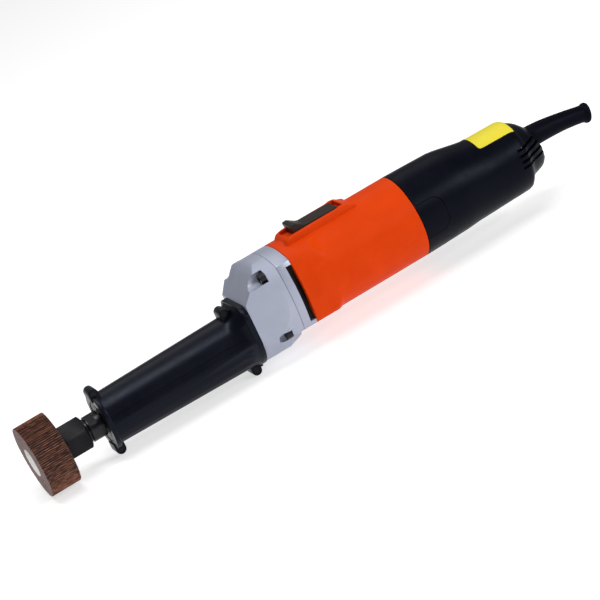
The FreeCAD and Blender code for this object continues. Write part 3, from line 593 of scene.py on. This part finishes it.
def grip_whole():
    """The grip before it is split: barrel, two flanges, the flare, and the lugs with their screw holes."""
    oval = (arc(0, FRONT_RISE - DROP, GRIP_RADS[0], 0, 180, 30)
            + arc(0, -FRONT_RISE - DROP, GRIP_RADS[0], 180, 360, 30))
    front = prism_x("front_flange", oval, NOSE_FRONT, NOSE_FRONT + FRONT_THICK)
    round_edges(front, 0.7, 3)
    arch = (arc(0, -DROP, 25.5, 180, 360, 40) + arc(13.5, 18.1 - DROP, 12.0, 0, 90)
            + arc(-13.5, 18.1 - DROP, 12.0, 90, 180))
    rear = prism_x("rear_flange", arch, NOSE_BACK - REAR_THICK, NOSE_BACK)
    round_edges(rear, 0.7, 3)
    flare = []
    for back, part in ((24.0, 0.0), (15.0, 0.15), (9.0, 0.45), (REAR_THICK - 1, 0.97)):
        blend = []
        for y, z in arch:
            rad = math.hypot(y, z + DROP)
            size = (FLARE_RAD + (rad - FLARE_RAD) * part) / rad
            blend.append((NOSE_BACK - back, y * size, (z + DROP) * size - DROP))
        flare.append(blend)
    webs = []
    for x, z in LUGS[2:]:
        low, high = sorted((math.copysign(LUG_FOOT, z) - DROP, z - DROP))
        webs.append(brick(x, NOSE_BACK - 2, -WEB_HALF, WEB_HALF, low, high))
    lugs = [grip_lug(x, z) for x, z in LUGS]
    grip = combine(grip_barrel(), [front, rear, loft("flare", flare), *webs, *lugs], "UNION")
    holes = [turned_piece("bore", [(NOSE_FRONT - 3, GRIP_BORE), (NOSE_BACK + 2, GRIP_BORE)], -DROP),
             turned_piece("seat", [(NOSE_BACK - SEAT_DEEP, SEAT_RAD), (NOSE_BACK + 2, SEAT_RAD)], -DROP)]
    beyond = LUG_HALF + 2
    for x, z in LUGS:
        for rad, right, left in ((LUG_BORE, -beyond, beyond), (HEAD_BORE, -beyond, HEAD_DEEP - LUG_HALF),
                                 (NUT_BORE, LUG_HALF - HEAD_DEEP, beyond)):
            holes.append(prism_y("hole", arc(x, z - DROP, rad, 0, 350, 35), right, left))
    return combine(grip, holes, "DIFFERENCE")


BLUISH = (0.72, 0.78, 1.0)               # the cool sheen of the black mouldings
# The grip's lighter edges are a painted highlight that picks out its ribs and lugs.
grip_plastic = plastic("grip_plastic", (0.0016, 0.002, 0.005), (0.0026, 0.003, 0.007), (0.28, 0.36), 0.01, 2200.0,
                       edge_wear_glint=(0.010, 0.011, 0.016), specular=0.14, tint=BLUISH)
whole = grip_whole()
for side, right, left in (("right", -45, -SHELL_GAP), ("left", SHELL_GAP, 45)):
    shell = combine(twin(whole, f"grip_half_{side}"), [brick(-190, -40, right, left, -60, 30)], "INTERSECT")
    finish_piece(shell, grip_plastic, "housing", "grip_plastic", f"grip_shell_{side}", sharp=32)
bpy.data.objects.remove(whole)

# Gear case ------------------------------------------------------------------------------------------------
# A die-cast aluminium case, left with its satin skin.  Its back is a square with bulging sides; the front
# is faceted down to the nose, with a belly round the offset spindle and a pocket over each long screw.

CASE_FRONT, CASE_BACK = NOSE_BACK, -12.0
SIDE_HALF, CORNER_AT = 33.8, 28.2        # reach of a bulging side at its middle, and of its corners
SIDE_RAD = (CORNER_AT ** 2 + (SIDE_HALF - CORNER_AT) ** 2) / (2 * (SIDE_HALF - CORNER_AT))
BOLT_AT, POCKET_RAD, POCKET_FLOOR = 25.0, 6.0, -22.0
TOP_TURN, TOP_RAD = (-17.7, 11.8), 22.0  # the rounding of the top down to its front facet
JOINT_GAP = 0.12                         # from the joint with the bearing plate to either casting
BOLTS = [(y, z) for y in (-BOLT_AT, BOLT_AT) for z in (-BOLT_AT, BOLT_AT)]
BOLT_HOLE, UPPER_POCKET, LOWER_POCKET = 2.7, 20.0, 11.0
BELLY_HALF, BELLY_TOP, BELLY_SIDE = 25.6, -12.0, -21.4


def soft_square():
    """Points round the square with bulging sides."""
    steps = 12
    reach = math.asin(CORNER_AT / SIDE_RAD)
    points = []
    for quarter in range(4):
        for i in range(steps):
            turn = -reach + 2 * reach * i / steps
            y, z = SIDE_RAD * math.sin(turn), SIDE_HALF - SIDE_RAD + SIDE_RAD * math.cos(turn)
            for _ in range(quarter):
                y, z = z, -y
            points.append((y, z))
    return points


def slice_off(piece, spot, facing):
    """Cut away what lies beyond a plane through the spot, and close the cut with one face."""
    bm = bmesh.new()
    bm.from_mesh(piece.data)
    cut = bmesh.ops.bisect_plane(bm, geom=bm.verts[:] + bm.edges[:] + bm.faces[:], plane_co=at(*spot),
                                 plane_no=Vector(facing), clear_outer=True, dist=1e-7)
    rim = [item for item in cut["geom_cut"] if isinstance(item, bmesh.types.BMEdge)]
    bmesh.ops.holes_fill(bm, edges=rim)
    bmesh.ops.recalc_face_normals(bm, faces=bm.faces)
    bm.to_mesh(piece.data)
    bm.free()


def case_belly():
    """The rounded underside round the spindle, which draws in towards the bearing plate."""
    under = arc(0, -DROP, 25.0, -55, -125, 8)
    rings = []
    for x, half, sink in ((CASE_FRONT, BELLY_HALF, 1.0), (-23.0, 31.6, 1.0), (CASE_BACK - JOINT_GAP, 29.0, 0.87)):
        rows = [(half, BELLY_TOP), (half, BELLY_SIDE), *under, (-half, BELLY_SIDE), (-half, BELLY_TOP)]
        rings.append([(x, y, BELLY_TOP + (z - BELLY_TOP) * sink) for y, z in rows])
    return loft("belly", rings)


def bolt_hole(y, z, front, back):
    return loft("bolt_hole", [circle(x, BOLT_HOLE, z, 24, y=y) for x in (front, back)])


def bolt_pocket(y, z):
    """The scoop in front of a long screw's head, open to the front and a little outside the screw."""
    front = POCKET_FLOOR - (UPPER_POCKET if z > 0 else LOWER_POCKET)
    shape = ((front, 0.6 * POCKET_RAD), (front + 3, 0.9 * POCKET_RAD), (front + 6, POCKET_RAD),
             (POCKET_FLOOR, POCKET_RAD + 0.2))
    return loft("pocket", [circle(x, rad, z * 1.05, 40, y=y * 1.05) for x, rad in shape])


def gear_case():
    """The square block with its front facets sliced off, the belly added, then hollowed for the gears."""
    case = prism_x("gear_case_body", soft_square(), CASE_FRONT, CASE_BACK - JOINT_GAP)
    slice_off(case, (CASE_FRONT, 0, 11.6), (-21.9, 0, 17.5))
    for lean in (10, 20, 30, 40):
        away = (-math.sin(math.radians(lean)), 0, math.cos(math.radians(lean)))
        slice_off(case, (TOP_TURN[0] + TOP_RAD * away[0], 0, TOP_TURN[1] + TOP_RAD * away[2]), away)
    for side in (1, -1):
        slice_off(case, (CASE_FRONT, side * BELLY_HALF, 0), (-8.2, side * 29.0, 0))
        slice_off(case, (-26.0, side * 28.0, -24.9), (-0.4, side * 0.746, -0.666))
    combine(case, [case_belly()], "UNION")
    round_edges(case, 1.0, 3, 13)
    tools = [turned_piece("room", [(-37, 15), (-11, 15)], -DROP), turned_piece("room", [(-37, 11), (-11, 11)]),
             turned_piece("seat", [(-47, 12.5), (-33, 12.5)], -DROP)]
    for y, z in BOLTS:
        tools += [bolt_pocket(y, z), bolt_hole(y, z, POCKET_FLOOR - 1, CASE_BACK + 1)]
    return combine(case, tools, "DIFFERENCE")


cast_aluminium = metal("cast_aluminium", (0.335, 0.36, 0.455), (0.375, 0.40, 0.495), (0.38, 0.46), 0.012, 2600.0,
                       metallic=0.4)
finish_piece(gear_case(), cast_aluminium, "housing", "cast_aluminium", "gear_case", sharp=12)

# Bearing plate --------------------------------------------------------------------------------------------
# The ring of the same casting behind a fine joint.  It holds the armature's front bearing, and its two flat
# sides are cut away next to the motor housing, where the fan blows the cooling air out.

SLOT_DEEP, SLOT_HALF, SLOT_BOTTOM = 5.2, 24.5, 25.0


def span(side, near, far):
    """Limits from near to far on one side of the middle, the lower one first."""
    return sorted((side * near, side * far))


def bearing_plate():
    plate = prism_x("bearing_plate_body", soft_square(), CASE_BACK + JOINT_GAP, 0.0)
    round_edges(plate, 0.5, 3, 20)
    tools = [turned_piece("seat", [(CASE_BACK - 1, 13), (-3, 13)]), turned_piece("hole", [(-12, 7), (2, 7)]),
             turned_piece("air_ring", [(-6, 16), (2, 16), (2, 31), (-6, 31), (-6, 16)])]
    for side in (-1, 1):
        tools.append(brick(-SLOT_DEEP, 1, *span(side, SLOT_BOTTOM, 40), -SLOT_HALF, SLOT_HALF))
    for y, z in BOLTS:
        tools.append(bolt_hole(y, z, CASE_BACK - 1, 2))
    return combine(plate, tools, "DIFFERENCE")


finish_piece(bearing_plate(), cast_aluminium, "housing", "cast_aluminium", "bearing_plate", sharp=24)

# Slot shade liner -------------------------------------------------------------------------------------------
# A plain black moulded ring that fills the hollow of the bearing plate, with a strip on each side that lines
#  the bottom of the slot.  It is painted shade: a dark lining that makes the slots look black and deep.

# Black painted shade in the hollow and along the bottom of each slot.
shade_liner = turned_piece("slot_shade_liner", [(-5.9, 16.2), (-0.3, 16.2), (-0.3, 24.0), (-4.6, 28.5), (-5.9, 28.5),
                                           (-5.9, 16.2)])
for side in (-1, 1):
    strip = brick(0.1 - SLOT_DEEP, -0.3, *span(side, SLOT_BOTTOM + 0.1, 27), 0.1 - SLOT_HALF, SLOT_HALF - 0.1)
    combine(shade_liner, [strip], "UNION")
fan_plastic = plastic("fan_plastic", (0.006, 0.005, 0.005), (0.010, 0.008, 0.008), (0.5, 0.65))
finish_piece(shade_liner, fan_plastic, "housing", "fan_plastic")

# Motor housing --------------------------------------------------------------------------------------------
# A thick orange nylon tube.  At its mouth it takes the square shape of the casting, with four bosses that
# fade into the round barrel, and on top it carries a low walled frame for the slide switch.

BARREL_RAD, BARREL_BORE, BARREL_LONG = 35.5, 32.3, 109.0
MOUTH_RAD, MOUTH_BORE, MOUTH_LONG, MOUTH_THICK = 33.2, 29.2, 14.0, 8.0
BOSS_END, BOSS_FADE, BOSS_SINK, CORNER_REACH = 21.0, 9.0, 1.5, 39.3
FRAME_HALF, WELL_HALF, WELL_FLOOR = 13.5, 10.0, 34.9


def ease(part):
    """A smooth start and stop between 0 and 1."""
    part = min(max(part, 0.0), 1.0)
    return part * part * (3 - 2 * part)


def barrel_radius(x, turn):
    """Distance of the outer surface from the motor axis, at an angle from the top."""
    off = (turn + math.pi / 4) % (math.pi / 2) - math.pi / 4
    bent = SIDE_HALF - SIDE_RAD
    square = bent * math.cos(off) + math.sqrt(SIDE_RAD ** 2 - (bent * math.sin(off)) ** 2)
    boss = CORNER_REACH - (CORNER_REACH - BARREL_RAD + BOSS_SINK) * max(0.0, x - BOSS_END) / BOSS_FADE
    return max(MOUTH_RAD + (BARREL_RAD - MOUTH_RAD) * ease(x / MOUTH_LONG), min(square, boss))


def motor_housing():
    """The tube as rings outside and inside, with the switch frame joined on and its well cut through."""
    steps = 160
    turns = [2 * math.pi * i / steps for i in range(steps)]
    rings = []
    for x, less in ((0.15, 0.5), (0.6, 0.0), (4, 0), (8, 0), (11, 0), (14, 0), (17.5, 0), (20.8, 0), (21.2, 0),
                    (23, 0), (25, 0), (27, 0), (29, 0), (31, 0), (40, 0), (70, 0), (100, 0), (108.4, 0),
                    (BARREL_LONG - 0.1, 0.5)):
        rings.append([around(x, barrel_radius(x, turn) - less, turn) for turn in turns])
    for x, rad in ((BARREL_LONG - 0.1, BARREL_BORE), (MOUTH_THICK, BARREL_BORE), (MOUTH_THICK - 0.1, MOUTH_BORE),
                   (0.15, MOUTH_BORE)):
        rings.append(circle(x, rad, 0.0, steps))
    housing = loft("motor_housing_body", rings + rings[:1])
    frame = prism_y("frame", [(6.0, 30.0), (9.0, 35.2), (11.0, 36.9), (15.0, 37.9), (19.0, 38.2), (57.0, 38.2),
                              (61.5, 38.9), (65.0, 38.4), (68.0, 36.6), (72.0, 35.3), (74.0, 30.0)],
                    -FRAME_HALF, FRAME_HALF)
    round_edges(frame, 0.8, 3, 35)
    combine(housing, [frame], "UNION")
    tools = [brick(12.5, 63.5, -WELL_HALF, WELL_HALF, WELL_FLOOR, 50), brick(28, 52, -4.1, 4.1, 20, 40),
             turned_piece("bore", [(8.2, BARREL_BORE), (BARREL_LONG + 2, BARREL_BORE)])]
    return combine(housing, tools, "DIFFERENCE")


orange_plastic = plastic("orange_plastic", (0.60, 0.041, 0.001), (0.65, 0.049, 0.0015), (0.38, 0.5), 0.008,
                         2400.0, specular=0.05)
finish_piece(motor_housing(), orange_plastic, "housing", "orange_plastic", "motor_housing", sharp=30)

# Slide switch ---------------------------------------------------------------------------------------------
# A brown-black plate that lies in the frame, with a steep thumb wedge at its front end.  It slides forward
# to start the tool, and a flat bar under the housing's roof carries the movement to the switch.

SLIDE_HALF = 9.3


def slide_knob():
    """The plate and wedge seen from the side, with a stem down to the bar."""
    wedge = [(19.2, 35.2), (19.0, 38.6), (18.2, 41.0), (18.0, 43.2), (18.8, 44.3), (22.2, 44.4), (24.6, 42.8),
             (28.6, 40.2), (31.0, 39.5)]
    knob = prism_y("slide_knob", wedge + [(58.6, 39.1), (60.0, 38.2), (60.0, 35.2)], -SLIDE_HALF, SLIDE_HALF)
    round_edges(knob, 0.5, 3, 25)
    stem = brick(34, 42, -3.5, 3.5, 30.8, 36.5)
    return combine(knob, [stem], "UNION")


switch_plastic = plastic("switch_plastic", (0.018, 0.012, 0.010), (0.026, 0.018, 0.015), (0.36, 0.5))
finish_piece(slide_knob(), switch_plastic, "switch_group", "switch_plastic", "switch_knob", sharp=30)

# Rear housing ---------------------------------------------------------------------------------------------
# One black moulding that covers the brushes and the switch.  It narrows to a waist, ends in a slotted dome
# where the air comes in, and is finely textured all over.

# The place along the tool, the radius there, and the height of the middle above the motor axis.
REAR_SKIN = (
    (BARREL_LONG + 0.1, 35.1, 0.0), (BARREL_LONG + 0.5, 35.5, 0.0), (125.0, 35.2, 0.0), (140.0, 34.8, 0.0),
    (150.0, 34.5, 0.0), (156.0, 33.9, -0.2), (162.0, 33.1, -0.6), (174.0, 31.8, -1.8), (180.0, 31.2, -2.2),
    (187.0, 30.8, -2.4), (200.0, 30.6, -2.4), (211.0, 30.4, -2.3), (213.6, 29.9, -2.0), (215.2, 28.8, -1.4),
    (216.4, 27.5, -0.8), (218.0, 25.9, -0.4), (220.0, 24.5, -0.5), (222.5, 23.3, -0.8), (225.5, 21.8, -1.5),
    (229.0, 19.5, -2.9), (231.5, 17.5, -3.8), (233.3, 15.6, -4.0), (234.2, 13.8, -4.0), (234.5, 12.6, -4.0))
REAR_WALL, HOLLOW_BACK, TAB_BACK, TAB_HALF = 2.8, 232.0, 132.0, 14.5
COVER_GAP = 0.16                         # between the outline of a brush cover and either edge
AIR_FRONT, AIR_ROWS, AIR_HALF = 206.5, (8.8, 3.9, -1.0, -5.9), 0.8
GROOVE_HALF, GROOVE_DEEP, GROOVE_FADE = 1.1, 1.5, 4.0
SCREW_SIDE, SCREW_Z, SCREW_BORE, HEAD_SEAT = 9, -11, 2.2, 3.9
CORD_Z, CORD_HOLE, CORD_MOUTH = 4.2, 7.4, 9.3


def skin(name, less, rows=REAR_SKIN):
    """A solid inside the housing's outer skin, smaller all round by a little."""
    return loft(name, [circle(x, rad - less, low, 144) for x, rad, low in rows])


def tab_outline(more):
    """Outline of a brush cover seen from the side: open to the front, rounded at the back."""
    corner, half, back = 9.0, TAB_HALF + more, TAB_BACK + more
    return [(BARREL_LONG - 2, -half), *arc(back - corner, corner - half, corner, -90, 0),
            *arc(back - corner, half - corner, corner, 0, 90), (BARREL_LONG - 2, half)]


def rear_shell():
    shell = skin("rear_housing_body", 0.0)
    front = [(BARREL_LONG - 2, REAR_SKIN[1][1], 0.0)]
    inner = [(x, rad, low) for x, rad, low in REAR_SKIN[2:] if x < HOLLOW_BACK]
    return combine(shell, [skin("inside", REAR_WALL, front + inner)], "DIFFERENCE")


def brush_tab(side, gap):
    return prism_y("tab", tab_outline(gap), *span(side, 24, 45))


def rear_housing(shell):
    """Cut out the brush openings, the holes in the end wall, and level air slots that run out in grooves."""
    tools = [turned_piece("cord_hole", [(220, CORD_HOLE), (231.4, CORD_HOLE), (231.4, CORD_MOUTH),
                                        (240, CORD_MOUTH)], CORD_Z, 64)]
    for side in (-1, 1):
        tools.append(brush_tab(side, COVER_GAP))
        for name, rad, front in (("screw_seat", HEAD_SEAT, 231.6), ("screw_hole", SCREW_BORE, 225)):
            tools.append(prism_x(name, arc(side * SCREW_SIDE, SCREW_Z, rad, 0, 350, 35), front, 240))
        for row in AIR_ROWS:
            right, left = span(side, 12, 45)
            groove = brick(AIR_FRONT, 240, right, left, row - GROOVE_HALF, row + GROOVE_HALF)
            core = skin("core", GROOVE_DEEP, [(x - GROOVE_FADE, rad, low) for x, rad, low in REAR_SKIN])
            tools.append(combine(groove, [core], "DIFFERENCE"))
            tools.append(brick(AIR_FRONT + 2, 222, right, left, row - AIR_HALF, row + AIR_HALF))
    return combine(shell, tools, "DIFFERENCE")


black_plastic = plastic("black_plastic", (0.0012, 0.0015, 0.004), (0.002, 0.0025, 0.006), (0.33, 0.42), 0.02,
                        1900.0, specular=0.07, tint=BLUISH)
hollow = rear_shell()
covers = {}
for side, name in ((-1, "right"), (1, "left")):
    covers[name] = combine(twin(hollow, f"brush_cover_{name}_body"), [brush_tab(side, -COVER_GAP)], "INTERSECT")
finish_piece(rear_housing(hollow), black_plastic, "housing", "black_plastic", "rear_housing", sharp=32)

# Brush covers ---------------------------------------------------------------------------------------------
# A tab on each side of the rear housing, of the same textured plastic, that slides off for changing the
# carbon brushes.  Only the fine line round it shows.

for name, cover in covers.items():
    finish_piece(cover, black_plastic, "housing", "black_plastic", f"brush_cover_{name}", sharp=32)

# Rating plate ---------------------------------------------------------------------------------------------
# A plain yellow foil, cut with rounded corners and stuck over the top of the housing.  It runs from the
# waist to the start of the dome, and follows the curve of the moulding under it.

PLATE_FRONT, PLATE_BACK, PLATE_HALF, PLATE_CORNER = 183.0, 216.4, 17.8, 2.0
FOIL_OUT, FOIL_IN = 0.25, 0.03           # the foil's two faces above the moulding


def rating_plate():
    front, back, half = PLATE_FRONT + PLATE_CORNER, PLATE_BACK - PLATE_CORNER, PLATE_HALF - PLATE_CORNER
    outline = []
    for x, y, start in ((back, half, 0), (front, half, 90), (front, -half, 180), (back, -half, 270)):
        outline += arc(x, y, PLATE_CORNER, start, start + 90, 6)
    rows = [row for row in REAR_SKIN if 170 < row[0] < 223]
    plate = combine(skin("rating_foil", -FOIL_OUT, rows), [skin("under", -FOIL_IN, rows)], "DIFFERENCE")
    return combine(plate, [prism_z("patch", outline, 10, 45)], "INTERSECT")


yellow_foil = plastic("yellow_foil", (0.69, 0.58, 0.03), (0.74, 0.64, 0.05), (0.3, 0.42), 0.004, 1500.0)
finish_piece(rating_plate(), yellow_foil, "housing", "yellow_foil", "rating_plate", sharp=32)

# Cord sleeve ----------------------------------------------------------------------------------------------
# A soft black rubber sleeve that keeps the cord from kinking: a collar held inside the end wall, a gently
# drooping taper, and a thick rolled rim at its open end.

SLEEVE_X, SLEEVE_LONG, SLEEVE_TURN = 226.0, 62.0, 13.0


def sleeve_ring(part, rad):
    """A ring square to the sleeve's bent middle line, at a share of its length."""
    steps = 72
    bend = SLEEVE_LONG / math.radians(SLEEVE_TURN)
    lean = math.radians(SLEEVE_TURN) * part
    x, z = SLEEVE_X + bend * math.sin(lean), CORD_Z - bend * (1 - math.cos(lean))
    turns = [2 * math.pi * i / steps for i in range(steps)]
    return [(x + rad * math.cos(t) * math.sin(lean), rad * math.sin(t), z + rad * math.cos(t) * math.cos(lean))
            for t in turns]


def cord_sleeve():
    """Rings from the held collar, over the groove and the taper to the rim, and back through the bore."""
    collar = [(0.0, 9.3), (0.004, 9.5), (0.04, 9.5), (0.043, 9.3), (0.045, 7.2), (0.086, 7.2), (0.09, 8.8)]
    taper = [(0.096, 9.0), (0.2, 8.9), (0.3, 8.65), (0.4, 8.3), (0.5, 7.95), (0.6, 7.6), (0.7, 7.35),
             (0.8, 7.15), (0.9, 7.05)]
    rim = [(0.925, 7.3), (0.945, 7.9), (0.96, 8.35), (0.985, 8.4), (0.997, 8.1), (1.0, 7.6)]
    bore = [(1.0, 4.6), (0.985, 4.1), (0.8, 4.0), (0.5, 4.0), (0.2, 4.0), (0.0, 4.0)]
    rings = [sleeve_ring(part, rad) for part, rad in collar + taper + rim + bore]
    return loft("cord_sleeve_body", rings + rings[:1])


sleeve_rubber = plastic("sleeve_rubber", (0.0015, 0.0015, 0.004), (0.0025, 0.0025, 0.006), (0.42, 0.56), 0.015,
                        1200.0, specular=0.05, tint=BLUISH)
finish_piece(cord_sleeve(), sleeve_rubber, "housing", "sleeve_rubber", "cord_sleeve", sharp=30)

# Pieces kept from the design ------------------------------------------------------------------------------
# Bearings, gears, motor, brushes, screws and the small parts inside need no new shape, only their own
# materials: ground, hobbed and plated steel, laminations, copper, brass, carbon and plain mouldings.

INSIDE = {
    "bearing_steel": metal("bearing_steel", (0.70, 0.71, 0.73), (0.62, 0.63, 0.65), (0.08, 0.18), 0.001),
    "gear_steel": metal("gear_steel", (0.36, 0.36, 0.38), (0.26, 0.26, 0.28), (0.25, 0.4), 0.004),
    "dark_aluminium": metal("dark_aluminium", (0.015, 0.015, 0.018), (0.025, 0.025, 0.028), (0.35, 0.5), 0.006),
    "screw_steel": metal("screw_steel", (0.02, 0.02, 0.022), (0.035, 0.035, 0.038), (0.3, 0.45), 0.004),
    "fan_plastic": fan_plastic,
    "lamination_steel": metal("lamination_steel", (0.20, 0.20, 0.215), (0.13, 0.13, 0.14), (0.4, 0.6), 0.01),
    "copper_wire": metal("copper_wire", (0.62, 0.24, 0.11), (0.48, 0.16, 0.07), (0.28, 0.42), 0.03, 1400.0),
    "copper_bar": metal("copper_bar", (0.80, 0.40, 0.24), (0.68, 0.31, 0.18), (0.15, 0.3), 0.002),
    "brass": metal("brass", (0.74, 0.54, 0.22), (0.62, 0.44, 0.17), (0.22, 0.36), 0.003),
    "carbon": plastic("carbon", (0.02, 0.02, 0.021), (0.032, 0.032, 0.034), (0.55, 0.7)),
    "bright_steel": bright_steel, "black_steel": black_steel, "spindle_steel": spindle_steel,
    "cast_aluminium": cast_aluminium, "grip_plastic": grip_plastic, "orange_plastic": orange_plastic,
    "switch_plastic": switch_plastic, "black_plastic": black_plastic, "yellow_foil": yellow_foil,
    "sleeve_rubber": sleeve_rubber,
}
for part in frame["record"]["subparts"]:
    if part["material_slot"] in INSIDE:
        for holder in frame["nodes"][part["node"]].material_slots:
            holder.material = INSIDE[part["material_slot"]]
